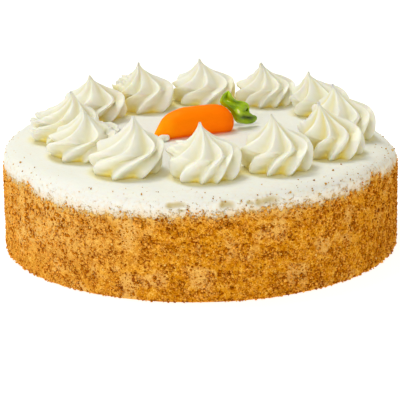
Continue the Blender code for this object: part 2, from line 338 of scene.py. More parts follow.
def coat_material():
    m = Nodes("cream_and_crumb_coat")
    cover = m.attribute("cover")
    crevice_shade = m.attribute("crevice_shade")
    speck = m.span(m.noise(1050.0, 3.0, 0.70), 0.28, 0.72, 0.0, 0.52)
    patch = m.span(m.noise(330.0, 3.0, 0.60), 0.30, 0.70, 0.0, 0.48)
    spread = m.math("ADD", speck, patch)
    margin = m.math("SUBTRACT", cover, spread)
    covered = m.span(margin, -0.07, 0.09)
    haze = m.span(m.math("ADD", m.math("MINIMUM", m.attribute("haze"), 1.0), m.span(m.noise(460.0, 3.0, 0.6), 0.3, 0.7, -0.20, 0.20)), 0.05, 0.95, 0.0, 0.90)
    # painted shade: the scrape dents are coloured olive-beige, turning brown at the mark at their left end
    scrape = m.attribute("scrape")
    pit = m.ramp(scrape, ((0.55, (0.60, 0.50, 0.27)), (1.0, (0.44, 0.23, 0.03))))
    cream = m.mix(m.span(scrape, 0.12, 0.52), cream_colour(m, crevice_shade, CREAM_SPREAD), pit)
    cream = m.mix(haze, cream, (0.84, 0.59, 0.29))
    # painted reflected light: an orange glow on the cream along the carrot's foot
    cream = m.mix(m.attribute("bounce"), cream, (0.86, 0.40, 0.12))
    # painted shadow of the leaves and the carrot's end on the cream
    cream = m.mix(m.attribute("painted_leaf_shadow"), cream, (0.11, 0.10, 0.01))
    m.set(
        Base_Color=m.mix(covered, cream, crumb_ground(m)),
        Roughness=m.span(covered, 0.0, 1.0, 0.45, 0.92),
        Subsurface_Weight=m.span(covered, 0.0, 1.0, 0.22, 0.0),
        Subsurface_Radius=(1.0, 0.80, 0.40),
        Subsurface_Scale=0.0026,
        Specular_IOR_Level=0.01,
        # painted glow: a faint yellow emission round the swirls' feet and between them
        Emission_Color=(1.0, 0.82, 0.22),
        Emission_Strength=m.math("ADD", m.span(crevice_shade, 0.30, 1.0, 0.0, 0.10), m.math("MULTIPLY", m.attribute("glow"), 0.20)),
    )
    rough = m.bump(m.math("MULTIPLY", m.noise(1000.0, 4.0, 0.7), covered), 0.0009)
    swept = m.bump(m.noise(210.0, 3.0, 0.45), 0.00025, 1.0, after=rough)
    m.set(Normal=swept)
    return m.mat


def grain_material(name, dark, mid, light):
    m = Nodes(name)
    tint = m.attribute("tint")
    speck = m.span(m.noise(2200.0, 3.0, 0.6), 0.3, 0.7, -0.15, 0.15)
    tone = m.math("ADD", tint, speck, clamp=True)
    m.set(
        Base_Color=m.ramp(tone, ((0.0, dark), (0.5, mid), (1.0, light))),
        Roughness=m.span(m.noise(1500.0, 2.0), 0.3, 0.7, 0.75, 0.95),
        Specular_IOR_Level=0.0,
    )
    m.set(Normal=m.bump(m.noise(2600.0, 3.0, 0.7), 0.0003))
    return m.mat


def carrot_material():
    m = Nodes("orange_sugar")
    along = m.attribute("along")
    drift = m.math("ADD", along, m.span(m.noise(120.0, 3.0, 0.5), 0.3, 0.7, -0.06, 0.06))
    body = m.ramp(
        drift,
        (
            (0.00, (1.000, 0.380, 0.004)),
            (0.12, (1.000, 0.300, 0.001)),
            (0.30, (1.000, 0.215, 0.000)),
            (0.60, (1.000, 0.200, 0.000)),
            (0.85, (0.930, 0.165, 0.000)),
            (1.00, (0.780, 0.120, 0.000)),
        ),
    )
    pores = m.span(m.noise(1300.0, 2.0, 0.5), 0.62, 0.72, 0.0, 0.12)
    m.set(
        Base_Color=m.mix(pores, body, (0.70, 0.10, 0.001)),
        Roughness=m.span(m.noise(700.0, 3.0), 0.3, 0.7, 0.44, 0.56),
        Subsurface_Weight=0.12,
        Subsurface_Radius=(1.0, 0.30, 0.05),
        Subsurface_Scale=0.003,
        Specular_IOR_Level=0.03,
        # painted glow: a faint orange emission that brightens the sugar
        Emission_Color=(1.0, 0.19, 0.0),
        Emission_Strength=0.16,
    )
    fine = m.bump(m.noise(1600.0, 3.0, 0.6), 0.00005)
    m.set(Normal=m.bump(m.noise(300.0, 3.0, 0.5), 0.00018, 1.0, after=fine))
    return m.mat


def leaf_material():
    m = Nodes("green_sugar")
    # deep holds painted shade, darker deeper in the folds, and below zero painted highlights
    deep = m.attribute("deep")
    tone = m.math("ADD", m.span(deep, -0.2, 1.0, 0.0, 1.0), m.span(m.noise(260.0, 3.0, 0.5), 0.3, 0.7, -0.07, 0.07))
    m.set(
        Base_Color=m.ramp(
            tone,
            (
                # painted highlights
                (0.00, (1.000, 1.000, 0.700)),
                (0.06, (0.860, 0.960, 0.380)),
                (0.15, (0.560, 0.740, 0.030)),
                (0.36, (0.380, 0.570, 0.003)),
                (0.68, (0.210, 0.350, 0.001)),
                (1.00, (0.030, 0.050, 0.001)),
            ),
        ),
        Roughness=m.span(m.noise(500.0, 2.0), 0.3, 0.7, 0.09, 0.15),
        Subsurface_Weight=0.30,
        Subsurface_Radius=(0.6, 1.0, 0.1),
        Subsurface_Scale=0.002,
        Specular_IOR_Level=0.30,
        Coat_Weight=0.22,
        Coat_Roughness=0.05,
    )
    m.set(Normal=m.bump(m.noise(420.0, 3.0, 0.5), 0.00025))
    return m.mat


# =================================================================================================
# the swirls
# =================================================================================================
GAP = 0.3 * MM
OUTLINE = (
    (0.000, 0.870),
    (0.050, 0.945),
    (0.170, 1.000),
    (0.330, 1.000),
    (0.460, 0.950),
    (0.540, 0.830),
    (0.600, 0.650),
    (0.660, 0.465),
    (0.730, 0.320),
    (0.810, 0.190),
    (0.880, 0.092),
    (0.940, 0.038),
    (0.975, 0.018),
    (1.000, 0.000),
)
PEAK_TWIST = 0.45
FULLER = 0.04
FULLER_AT = math.radians(15.0)
# angle, distance, radius, height, lean x, lean y, lobes, first, twist, crowd, crowd at
SWIRLS = (
    (88.9, 91.5, 21.8, 28.5, -1.7, -0.8, 8, -100.0, 75.0, 0.10, -60.0),
    (62.6, 94.6, 20.0, 27.8, -2.2, -3.8, 9, -75.0, 60.0, 0.20, -60.0),
    (34.2, 96.1, 20.0, 27.5, -8.8, 1.4, 8, -120.0, 60.0, 0.15, -60.0),
    (-1.9, 89.3, 21.8, 32.0, -5.3, 6.5, 8, -70.0, 60.0, 0.25, -40.0),
    (-27.9, 90.9, 20.8, 32.3, -7.7, 0.9, 7, -99.0, 60.0, 0.30, -85.0),
    (-58.0, 85.0, 22.6, 32.3, -2.1, 2.9, 7, -112.0, 58.0, 0.30, -90.0),
    (-88.7, 87.5, 22.0, 32.5, -2.1, 1.1, 8, -105.0, 55.0, 0.35, -80.0),
    (-120.6, 88.9, 22.2, 33.0, 5.5, 4.1, 7, -114.0, 90.0, 0.05, -90.0),
    (-151.7, 82.3, 22.3, 30.2, 1.2, -2.5, 8, -90.0, 85.0, 0.15, 20.0),
    (180.0, 86.6, 21.8, 31.0, 6.5, -2.3, 8, -120.0, 85.0, 0.15, 90.0),
    (143.7, 86.2, 21.3, 28.8, -1.5, -2.9, 7, -55.0, 70.0, 0.10, -60.0),
    (117.0, 82.5, 20.3, 31.0, -2.9, -0.5, 8, -90.0, 70.0, 0.20, 150.0),
)
# Swirls with deeper folds than the others, and more painted shade in them
DEEPER = {0: 0.86, 1: 0.90, 2: 0.94, 3: 1.14, 4: 1.20, 5: 1.12, 6: 1.08, 10: 1.08}
# Stretches where the cream tore instead of bending: swirl, direction and half width in degrees, t, half of t, mm
RAGGED = (
    (8, 8.0, 34.0, 0.50, 0.15, 1.5),
    (6, 176.0, 30.0, 0.54, 0.12, 1.3),
    (11, 178.0, 36.0, 0.60, 0.15, 1.4),
    (9, 190.0, 46.0, 0.42, 0.20, 1.4),
    (4, 150.0, 34.0, 0.60, 0.12, 1.0),
    (3, 165.0, 36.0, 0.62, 0.14, 1.0),
)
# Torn points where the nozzle pulled away: swirl, direction in degrees, t, height and width in mm
TEARS = (
    (6, -172.0, 0.46, 5.0, 5.0),
    (6, 168.0, 0.62, 2.2, 1.7),
    (6, 150.0, 0.57, 1.4, 1.2),
    (6, -20.0, 0.56, 1.6, 3.0),
    (11, 175.0, 0.64, 3.0, 1.6),
    (11, 192.0, 0.50, 2.6, 1.6),
    (11, 160.0, 0.72, 1.0, 1.2),
    (9, 185.0, 0.44, 3.6, 1.3),
    (9, 150.0, 0.54, 3.0, 1.3),
    (9, 208.0, 0.24, 2.6, 1.3),
    (9, 222.0, 0.50, 1.6, 2.0),
    (8, 190.0, 0.60, 1.6, 1.8),
    (10, 170.0, 0.50, 1.6, 1.6),
    (4, 110.0, 0.66, 1.5, 1.5),
    (4, -160.0, 0.58, 1.4, 1.4),
    (8, 20.0, 0.55, 2.6, 1.5),
    (8, 2.0, 0.50, 2.4, 1.3),
    (8, -16.0, 0.42, 2.0, 1.3),
)


def swirl_centre(index):
    s = SWIRLS[index % len(SWIRLS)]
    a = math.radians(s[0])
    return s[1] * MM * math.cos(a), s[1] * MM * math.sin(a)


def press_apart(x, y, index):
    here = swirl_centre(index)
    pressed = np.zeros(len(x))
    for other in (index - 1, (index + 1) % len(SWIRLS)):
        there = swirl_centre(other)
        dx, dy = there[0] - here[0], there[1] - here[1]
        apart = math.hypot(dx, dy)
        dx, dy = dx / apart, dy / apart
        mine, theirs = SWIRLS[index][2], SWIRLS[other][2]
        limit = apart * mine / (mine + theirs) - 0.5 * GAP
        soft = 1.4 * MM
        over = np.maximum((x - here[0]) * dx + (y - here[1]) * dy - (limit - soft), 0.0)
        pushed = over - soft * (1.0 - np.exp(-over / soft))
        x, y = x - pushed * dx, y - pushed * dy
        pressed = np.maximum(pressed, smoothstep(0.0, 2.0 * soft, over))
    return x, y, pressed


def step_up(x, middle, width):
    return 1.0 / (1.0 + np.exp(-(x - middle) / width))


def make_swirl(index, material):
    at, out, radius, height, lean_x, lean_y, lobes, first, twist, crowd, crowd_at = SWIRLS[index]
    radius, height = radius * MM, height * MM
    rng = np.random.default_rng(100 + index)
    marks = np.array([0.0, 0.025, 0.06, 0.11, 0.18, 0.27, 0.37, 0.47, 0.57, 0.67, 0.76, 0.85, 0.92, 0.97])
    across = len(marks)
    columns = lobes * across
    # closer rings at the foot, at the shoulder and towards the peak
    rows = np.concatenate([np.linspace(0.0, 0.06, 6), np.linspace(0.075, 0.9, 62), np.linspace(0.91, 0.995, 12)])
    trough_at = 0.70 + 0.08 * rng.uniform(-1, 1, lobes)
    deep = 1.0 + 0.30 * rng.uniform(-1, 1, lobes)
    shift = 0.12 * rng.uniform(-1, 1, lobes)
    puff = 0.045 * rng.uniform(-1, 1, lobes)
    lobe = np.repeat(np.arange(lobes), across)
    fold = np.tile(marks, lobes)
    after = (lobe + 1) % lobes
    angle = (lobe + shift[lobe]) * (1 - fold) + (lobe + 1 + shift[after]) * fold
    base = math.radians(first) + 2.0 * math.pi * angle / lobes
    base = base - crowd * np.sin(base - math.radians(crowd_at))
    # a narrow rounded crest, a long face falling away from it, a soft trough, and a steep wall up to the next crest
    g = trough_at[lobe]
    away = np.where(fold <= g, fold / g, (1.0 - fold) / (1.0 - g))
    keen = np.where(fold <= g, 0.40, 0.46)
    cut = (np.sqrt(np.sin(0.5 * math.pi * np.clip(away, 0, 1)) ** 2 + keen**2) - keen) / (np.sqrt(1 + keen**2) - keen)
    depth_of = deep[lobe] * (1 - fold) + deep[after] * fold
    puff_of = puff[lobe] * (1 - fold) ** 2 + puff[after] * fold**2

    t = rows[:, None]
    r0 = radius * curve_through(OUTLINE, rows)[:, None]
    low, high = np.maximum(rows - 0.01, 0.0), np.minimum(rows + 0.01, 1.0)
    dr = radius * (curve_through(OUTLINE, high) - curve_through(OUTLINE, low))
    dz = height * (high - low)
    size = np.hypot(dr, dz)
    nr, nz = (dz / size)[:, None], (-dr / size)[:, None]
    z0 = height * t
    depth = 0.215 * DEEPER.get(index, 1.0) * radius * depth_of[None, :] * np.minimum(1.0, r0 / (0.80 * radius)) ** 2.0
    depth = depth * (1.0 + 0.45 * np.maximum(0.0, 1.0 - t / 0.20))
    pull = depth * cut[None, :]
    r = r0 - pull * nr + puff_of[None, :] * radius * nr
    z = z0 - pull * nz * np.minimum(1.0, 5.0 * t)
    # streaks left by the nozzle and slow unevenness of the cream
    flat_u = np.broadcast_to(base[None, :], r.shape)
    flat_t = np.broadcast_to(t, r.shape)
    ring = np.stack(
        [3.0 * np.cos(flat_u).ravel() * 6, 3.0 * np.sin(flat_u).ravel() * 6, 1.6 * flat_t.ravel() + 9.1 * index], axis=1
    )
    streaks = noise(ring * 1.6, 31 + index).reshape(r.shape) * 0.10 * MM
    slow = layered(
        np.stack([2.2 * np.cos(flat_u).ravel(), 2.2 * np.sin(flat_u).ravel(), 3.0 * flat_t.ravel() + 5 * index], axis=1),
        71 + index,
        3,
    ).reshape(r.shape)
    ragged = np.maximum(0.0, noise(ring * np.array([0.9, 0.9, 9.0]), 53 + index)).reshape(r.shape)
    crest = np.exp(-((np.minimum(fold, 1.0 - fold) / 0.16) ** 2))[None, :]
    lump = streaks + 0.55 * MM * slow * np.minimum(1.0, r0 / (0.3 * radius)) + 0.45 * MM * ragged**2 * crest * smoothstep(0.25, 0.5, t)
    r = r + lump * nr
    z = z + lump * nz * np.minimum(1.0, 5.0 * t)
    theta = np.broadcast_to(base[None, :], r.shape).copy()
    turn = 0.30 * np.minimum(t / 0.5, 1.0) + 0.70 * step_up(t, 0.44, 0.10) + PEAK_TWIST * step_up(t, 0.80, 0.07)
    theta = theta + math.radians(twist) * turn
    theta = theta + 0.05 * slow * smoothstep(0.05, 0.3, t) * smoothstep(1.0, 0.8, t)
    side = FULLER * np.cos(theta - FULLER_AT)
    r = r * (1.0 + side)
    z = z * (1.0 + 1.2 * side * np.exp(-(((t - 0.5) / 0.22) ** 2)))
    for swirl, direction, tear_t, tear_h, tear_w in TEARS:
        if swirl != index:
            continue
        off = np.angle(np.exp(1j * (theta - math.radians(direction)))) * r
        bump = np.exp(-((off / (tear_w * MM)) ** 2) - (((t - tear_t) * height / (0.8 * tear_w * MM)) ** 2))
        r = r + tear_h * MM * bump * (0.35 + 0.65 * nr)
        z = z + tear_h * MM * bump * 0.7
    for swirl, direction, wide, mid_t, half_t, amount in RAGGED:
        if swirl != index:
            continue
        off = np.angle(np.exp(1j * (theta - math.radians(direction)))) / math.radians(wide)
        torn = np.exp(-(off**4) - (((t - mid_t) / half_t) ** 4))
        spot = np.stack([(r * np.cos(theta)).ravel(), (r * np.sin(theta)).ravel(), 1.6 * z.ravel()], axis=1)
        flakes = 1.0 - 2.6 * np.abs(layered(spot * 330.0, 131 + index, 2)).reshape(r.shape)
        r = r + amount * MM * flakes * torn
        z = z + 0.6 * amount * MM * flakes * torn
    bend = np.maximum(0.0, t - 0.12) / 0.88
    bend = bend * bend * (3.0 - 2.0 * bend)
    curl = smoothstep(0.86, 1.0, t) ** 2
    hook = rng.uniform(0, 2 * math.pi)
    cx, cy = swirl_centre(index)
    x = cx + r * np.cos(theta) + lean_x * MM * bend + 0.5 * MM * curl * math.cos(hook)
    y = cy + r * np.sin(theta) + lean_y * MM * bend + 0.5 * MM * curl * math.sin(hook)
    px, py, pressed = press_apart(x.ravel(), y.ravel(), index)
    z = np.clip(z, 0.0, height - 0.02 * MM) + TOP_Z + GAP
    z[0, :] -= 0.9 * MM  # the foot sits in the cream under it
    verts = np.stack([px, py, z.ravel()], axis=1)
    tip = (
        cx + lean_x * MM + 0.55 * MM * math.cos(hook),
        cy + lean_y * MM + 0.55 * MM * math.sin(hook),
        TOP_Z + GAP + height,
    )
    count = len(verts)
    verts = np.concatenate([verts, [tip], [(cx, cy, TOP_Z + GAP - 0.9 * MM)]])
    n = np.arange(columns)
    top = (len(rows) - 1) * columns
    faces = [
        grid_faces(len(rows), columns),
        np.stack([top + n, top + (n + 1) % columns, np.full(columns, count)], axis=1),
        np.stack([(n + 1) % columns, n, np.full(columns, count + 1)], axis=1),
    ]
    # painted shade: folds, the foot line and faces pressed against a neighbour get a yellow shade colour through the
    # crevice attribute
    foot = np.exp(-np.broadcast_to(z0, r.shape) / (1.0 * MM)) * (0.35 + 0.65 * cut[None, :])
    low = np.exp(-np.broadcast_to(z0, r.shape) / (4.5 * MM))
    fold_shade = cut[None, :] ** 1.5 * (0.34 * DEEPER.get(index, 1.0) ** 2 + 0.44 * low)
    fold_shade = np.clip(fold_shade * depth_of[None, :], 0, 1)
    fold_shade = fold_shade * smoothstep(0.98, 0.75, t)
    crevice_shade = 1.0 - (1.0 - fold_shade) * (1.0 - 0.95 * foot)
    crevice_shade = np.maximum(crevice_shade.ravel(), 0.85 * pressed * np.exp(-np.broadcast_to(z0, r.shape).ravel() / (9.0 * MM)))
    # painted glow and shade where a neighbouring swirl stands close
    glow = np.zeros(len(px))
    for other in (index - 1, (index + 1) % len(SWIRLS)):
        ox, oy = swirl_centre(other)
        apart = np.hypot(px - ox, py - oy) - SWIRLS[other][2] * MM
        close = np.exp(-np.maximum(apart, 0.0) / (3.6 * MM) - np.maximum(z.ravel() - TOP_Z, 0.0) / (13.0 * MM))
        crevice_shade = np.maximum(crevice_shade, 1.10 * close)
        glow = np.maximum(glow, close)
    crevice_shade = np.concatenate([np.clip(crevice_shade, 0, 1), [0.0, 1.0]])
    glow = np.concatenate([np.clip(glow, 0, 1), [0.0, 0.0]])
    obj = build(f"piped_swirl_{index + 1:02d}", verts, faces, {"crevice_shade": crevice_shade, "glow": glow})
    obj.data.materials.append(material)
    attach(obj, "root")
    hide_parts(f"swirl_{index + 1:02d}")
    return obj


# =================================================================================================
# the coat of cream and crumbs
# =================================================================================================
FLAT_R = 111.0 * MM
RIM_DROP = 7.5 * MM
SKIN_IN = 1.0 * MM  # the coat lies this far inside the CAD's side, for the grains to stand out to it
# direction in degrees, height in mm up to which the crumbs lie thick, and how far they thin out above it
BORDER = (
    (-180.0, 54.5, 2.6),
    (-164.0, 55.5, 2.6),
    (-156.0, 54.6, 2.4),
    (-148.0, 59.0, 2.0),
    (-142.0, 53.0, 2.4),
    (-134.0, 51.4, 2.6),
    (-120.0, 51.6, 2.6),
    (-108.0, 52.4, 2.4),
    (-98.0, 53.2, 2.4),
    (-86.0, 53.2, 2.4),
    (-78.0, 56.2, 2.2),
    (-70.0, 56.4, 2.4),
    (-60.0, 55.0, 3.0),
    (-48.0, 54.8, 3.0),
    (-37.0, 56.2, 3.3),
    (-32.0, 62.0, 2.6),
    (-26.0, 56.8, 3.4),
    (-16.0, 57.4, 3.4),
    (-4.0, 58.6, 3.2),
    (20.0, 55.0, 3.0),
    (70.0, 53.6, 2.6),
    (120.0, 55.4, 2.8),
    (150.0, 56.4, 2.6),
    (180.0, 54.5, 2.6),
)
# shallow scrapes in the white band: direction, height, half width, half height and depth in mm
SCRAPES = (
    (-96.6, 60.2, 6.6, 2.0, 1.3),
    (-82.8, 60.0, 5.0, 2.4, 1.4),
    (-71.6, 60.6, 8.6, 2.5, 1.4),
    (-95.0, 56.6, 2.6, 0.9, 0.8),
    (-76.5, 60.3, 2.8, 1.3, 0.8),
)


def border_height(theta):
    """Height in metres up to which the crumbs lie thick, and the depth of the band where they thin out."""
    degrees = np.degrees(np.angle(np.exp(1j * theta)))
    base = np.interp(degrees, [b[0] for b in BORDER], [b[1] for b in BORDER])
    thin = np.interp(degrees, [b[0] for b in BORDER], [b[2] for b in BORDER])
    ring = np.stack([np.cos(theta) * 11, np.sin(theta) * 11, np.zeros_like(theta)], axis=1)
    fine = np.stack([np.cos(theta) * 45, np.sin(theta) * 45, np.zeros_like(theta)], axis=1)
    return (base - 1.1 + 1.0 * layered(ring, 11, 3) + 2.0 * layered(fine, 12, 3)) * MM, thin * MM


def crumb_cover(above, thin):
    """Share of the surface under crumbs, at a height above the border."""
    share = 0.5 * np.exp(-np.maximum(above, 0.0) / thin)
    return np.where(above < 0.0, 1.0 - 0.5 * np.exp(np.minimum(above, 0.0) / (0.9 * MM)), share)


def threshold(share):
    """The level of the speckle that leaves this share of the surface covered."""
    shares = [0, 0.005, 0.02, 0.05, 0.10, 0.20, 0.30, 0.40, 0.50, 0.60, 0.70, 0.80, 0.90, 0.97, 1.0]
    levels = [-3.6, -2.58, -2.05, -1.64, -1.28, -0.84, -0.52, -0.25, 0, 0.25, 0.52, 0.84, 1.28, 1.9, 3.6]
    return 0.5 + 0.125 * np.interp(share, shares, levels)


def clump_at(p):
    """Where the crumbs stuck on in coarse clumps: 1 in a clump, 0 where they are fine and pressed flat."""
    return smoothstep(-0.26, 0.34, layered(p * 185.0, 91, 4))


def pale_at(p, theta):
    """Paler patches, where cream shows through the crumbs, and painted light: paler all round the left side, where the
    light falls.
    """
    # painted light on the left side, stronger higher up
    left = smoothstep(math.radians(95.0), math.radians(140.0), np.abs(np.angle(np.exp(1j * (theta)))))
    left = left * (0.25 + 0.75 * smoothstep(8.0 * MM, 34.0 * MM, p[:, 2]))
    return np.clip(smoothstep(0.16, 0.42, layered(p * 70.0, 96, 3)) * 0.7 + 0.80 * left, 0, 1)


def coat_outline(a):
    """Radius and height of the rim, for a from 0 at the flat top to 1 at the side."""
    angle = 0.5 * math.pi * a
    fall = (1.0 - np.cos(angle)) ** 1.15
    r = FLAT_R + (CAKE_R - SKIN_IN - FLAT_R) * np.sin(angle) ** 0.92
    return r, TOP_Z - RIM_DROP * fall


def sag(p):
    """The same points with the rim sunk and rounded off where it does so, most of all at the back right."""
    theta = np.degrees(np.arctan2(p[:, 1], p[:, 0]))
    right = smoothstep(-28.0, 8.0, theta) * smoothstep(85.0, 48.0, theta)
    left = smoothstep(135.0, 165.0, np.abs(theta))
    r = np.hypot(p[:, 0], p[:, 1])
    edge = smoothstep(97.0 * MM, CAKE_R, r) ** 1.6
    drop = (7.0 * right + 1.6 * left) * MM * edge * np.clip(p[:, 2] / (TOP_Z - RIM_DROP), 0.0, 1.1)
    moved = p.copy()
    moved[:, 2] -= drop
    return moved


def near_swirls(x, y):
    """How close points of the top are to the foot of a swirl, 1 under or beside it and 0 away from it, as painted shade
    round the feet and painted glow where two swirls are close.
    """
    near = np.zeros(len(x))
    second = np.zeros(len(x))
    for i in range(len(SWIRLS)):
        cx, cy = swirl_centre(i)
        d = np.hypot(x - cx, y - cy) - 0.95 * SWIRLS[i][2] * MM
        value = np.exp(-np.maximum(d, 0.0) / (2.0 * MM))
        second = np.maximum(second, np.minimum(near, value))
        near = np.maximum(near, value)
    return np.clip(0.46 * near + 1.15 * second, 0, 1), np.clip(1.3 * second, 0, 1)


def from_line(x, y, start, end):
    """How far points of the top are from a line, whose ends are in mm."""
    ax, ay, bx, by = start[0] * MM, start[1] * MM, end[0] * MM, end[1] * MM
    share = np.clip(((x - ax) * (bx - ax) + (y - ay) * (by - ay)) / ((bx - ax) ** 2 + (by - ay) ** 2), 0.0, 1.0)
    return np.hypot(x - ax - share * (bx - ax), y - ay - share * (by - ay))


def make_coat(material):
    full = 912
    rings = []  # (radius, height, points round, kind)
    inner = [(r * MM, TOP_Z, 228) for r in np.linspace(2.0, 42.0, 28)] + [(r * MM, TOP_Z, 228) for r in np.linspace(46.0, 84.0, 9)]
    middle = [(r * MM, TOP_Z, 456) for r in np.linspace(86.0, 104.0, 10)]
    outer = [(r * MM, TOP_Z, full) for r in np.linspace(105.5, 111.0, 4)]
    rim_r, rim_z = coat_outline(np.linspace(0.06, 1.0, 19))
    rim = [(float(a), float(b), full) for a, b in zip(rim_r, rim_z)]
    side = [(CAKE_R - SKIN_IN, z, full) for z in np.linspace(TOP_Z - RIM_DROP - 0.8 * MM, 2.0 * MM, 66)]
    foot = [
        (CAKE_R - SKIN_IN - 0.2 * MM, 0.9 * MM, full),
        (CAKE_R - SKIN_IN - 0.8 * MM, 0.25 * MM, full),
        (CAKE_R - SKIN_IN - 1.7 * MM, 0.0, full),
    ]
    under = [(r * MM, 0.0, 456) for r in (116.0, 100.0)] + [(r * MM, 0.0, 228) for r in (70.0, 30.0)]
    rings = inner + middle + outer + rim + side + foot + under
    verts, starts = [], []
    total = 0
    for r, z, count in rings:
        theta = np.arange(count) * (2 * math.pi / count)
        verts.append(np.stack([np.full(count, r), theta, np.full(count, z)], axis=1))
        starts.append(total)
        total += count
    flat = np.concatenate(verts)
    r, theta, z = flat[:, 0], flat[:, 1], flat[:, 2]
    kind_side = smoothstep(FLAT_R, CAKE_R - 2.5 * MM, r) * (z > 0.05 * MM)
    # which way each point moves: up on the top, outwards on the side
    out_dir = np.where(z > TOP_Z - RIM_DROP, smoothstep(FLAT_R, CAKE_R - SKIN_IN, r) ** 1.2, 1.0)
    up_dir = np.sqrt(np.clip(1.0 - out_dir**2, 0.0, 1.0)) * (z > 1.0 * MM)
    x, y = r * np.cos(theta), r * np.sin(theta)
    p = np.stack([x, y, z], axis=1)
    swept = layered(p * np.array([38.0, 38.0, 55.0]), 3, 3) * 0.32 * MM + layered(p * 160.0, 5, 2) * 0.07 * MM
    border, thin = border_height(theta)
    above = z - border + np.maximum(CAKE_R - SKIN_IN - r, 0.0) * (z > 30 * MM)
    cover = crumb_cover(above, thin)
    clump = clump_at(p)
    pale = pale_at(p, theta)
    coarse = layered(p * 620.0, 17, 3) * 0.38 * MM + layered(p * 230.0, 23, 2) * 0.42 * MM - 0.15 * MM * clump
    move = swept * (1.0 - 0.5 * kind_side) + coarse * smoothstep(0.50, 1.0, cover)
    scrape_shade = np.zeros(len(r))
    for direction, height, half_w, half_h, depth in SCRAPES:
        along = np.angle(np.exp(1j * (theta - math.radians(direction)))) * CAKE_R
        up = z - height * MM + 0.0003 * np.sin(along * 420.0 + direction) - 0.04 * along
        inside = np.exp(-(np.abs(along / (half_w * MM)) ** 2.6) - (np.abs(up / (half_h * MM)) ** 2.4))
        inside = inside * (r > 118 * MM)
        move = move - depth * MM * inside
        # painted shade in each dent, a little stronger in its lower half, and a brown mark at its left end
        low = smoothstep(0.0, -1.2, up / (half_h * MM))
        ochre = np.exp(-(((along / MM + 0.75 * half_w) / 1.6) ** 2))
        scrape_shade = np.maximum(scrape_shade, inside * min(depth, 1.0) * (0.50 + 0.12 * low + 0.50 * ochre))
    move = np.where((z < 0.2 * MM), 0.0, move)
    r2 = r + move * out_dir
    z2 = z + move * up_dir
    r2 = np.minimum(r2, CAKE_R)
    verts = sag(np.stack([r2 * np.cos(theta), r2 * np.sin(theta), z2], axis=1))
    beside, between = near_swirls(x, y)
    # painted reflected light: orange bounce from the carrot on the cream beside it
    bounce = 0.75 * np.exp(-np.maximum(from_line(x, y, (-27.0, -6.2), (17.5, 13.6)) - 3.9 * MM, 0.0) / (1.0 * MM))
    # painted shadow under the leaves and the carrot's end
    painted_leaf_shadow = 0.40 * np.exp(-((from_line(x, y, (21.5, 26.6), (25.5, 26.8)) / (3.8 * MM)) ** 3))
    painted_leaf_shadow = np.maximum(painted_leaf_shadow, 0.32 * np.exp(-((from_line(x, y, (24.0, 27.4), (34.0, 28.0)) / (2.6 * MM)) ** 3)))
    on_top = (r < 118 * MM) & (z > 30 * MM)
    # painted shade round the swirls' feet and painted glow between them
    crevice_shade = np.where(on_top, beside * (0.9 + 0.1 * noise(p * 500.0, 41)), 0.0)
    glow = np.where(on_top, between, 0.0)
    bounce, painted_leaf_shadow = np.where(on_top, bounce, 0.0), np.where(on_top, painted_leaf_shadow, 0.0)
    cover = cover * (1.0 - 0.8 * np.minimum(1.0, scrape_shade * 1.5))
    haze = np.where(above < 0, 1.0 + smoothstep(0.0, -6.5 * MM, above), np.exp(-np.maximum(above, 0.0) / (1.50 * thin)))
    haze = haze * (1.0 - 0.8 * np.minimum(1.0, scrape_shade * 1.5))
    centre_top = len(verts)
    verts = np.concatenate([verts, [(0, 0, TOP_Z)], [(0, 0, 0)]])
    quads, fives, tris = [], [], []
    for i in range(len(rings) - 1):
        a, b = starts[i], starts[i + 1]
        na, nb = rings[i][2], rings[i + 1][2]
        if na == nb:
            j = np.arange(na)
            k = (j + 1) % na
            quads.append(np.stack([a + j, b + j, b + k, a + k], axis=1))
        elif nb == 2 * na:
            j = np.arange(na)
            k = (j + 1) % na
            fives.append(np.stack([a + j, b + 2 * j, b + 2 * j + 1, b + (2 * j + 2) % nb, a + k], axis=1))
        elif na == 2 * nb:
            j = np.arange(nb)
            k = (j + 1) % nb
            fives.append(np.stack([a + 2 * j, b + j, b + k, a + (2 * j + 2) % na, a + 2 * j + 1], axis=1))
    j = np.arange(rings[0][2])
    k = (j + 1) % rings[0][2]
    tris.append(np.stack([starts[0] + j, starts[0] + k, np.full(len(j), centre_top)], axis=1))
    j = np.arange(rings[-1][2])
    k = (j + 1) % rings[-1][2]
    tris.append(np.stack([starts[-1] + k, starts[-1] + j, np.full(len(j), centre_top + 1)], axis=1))
    pad = np.zeros(2)
    obj = build(
        "cream_coat",
        verts,
        [np.concatenate(quads), np.concatenate(fives), np.concatenate(tris)],
        {
            "crevice_shade": np.concatenate([crevice_shade, pad]),
            "glow": np.concatenate([glow, pad]),
            "bounce": np.concatenate([bounce, pad]),
            "painted_leaf_shadow": np.concatenate([painted_leaf_shadow, pad]),
            "cover": np.concatenate([threshold(cover), pad]),
            "haze": np.concatenate([haze, pad]),
            "scrape": np.concatenate([scrape_shade, pad]),
            "clump": np.concatenate([clump, pad]),
            "pale": np.concatenate([pale, pad]),
        },
    )
    obj.data.materials.append(material)
    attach(obj, "root")
    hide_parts("cake")
    return obj


# ---- loose grains --------------------------------------------------------------------------------
def chunk():
    """A twelve-cornered lump of radius 1."""
    bm = bmesh.new()
    bmesh.ops.create_icosphere(bm, subdivisions=1, radius=1.0)
    verts = np.array([v.co for v in bm.verts])
    faces = np.array([[v.index for v in f.verts] for f in bm.faces])
    bm.free()
    return verts, faces


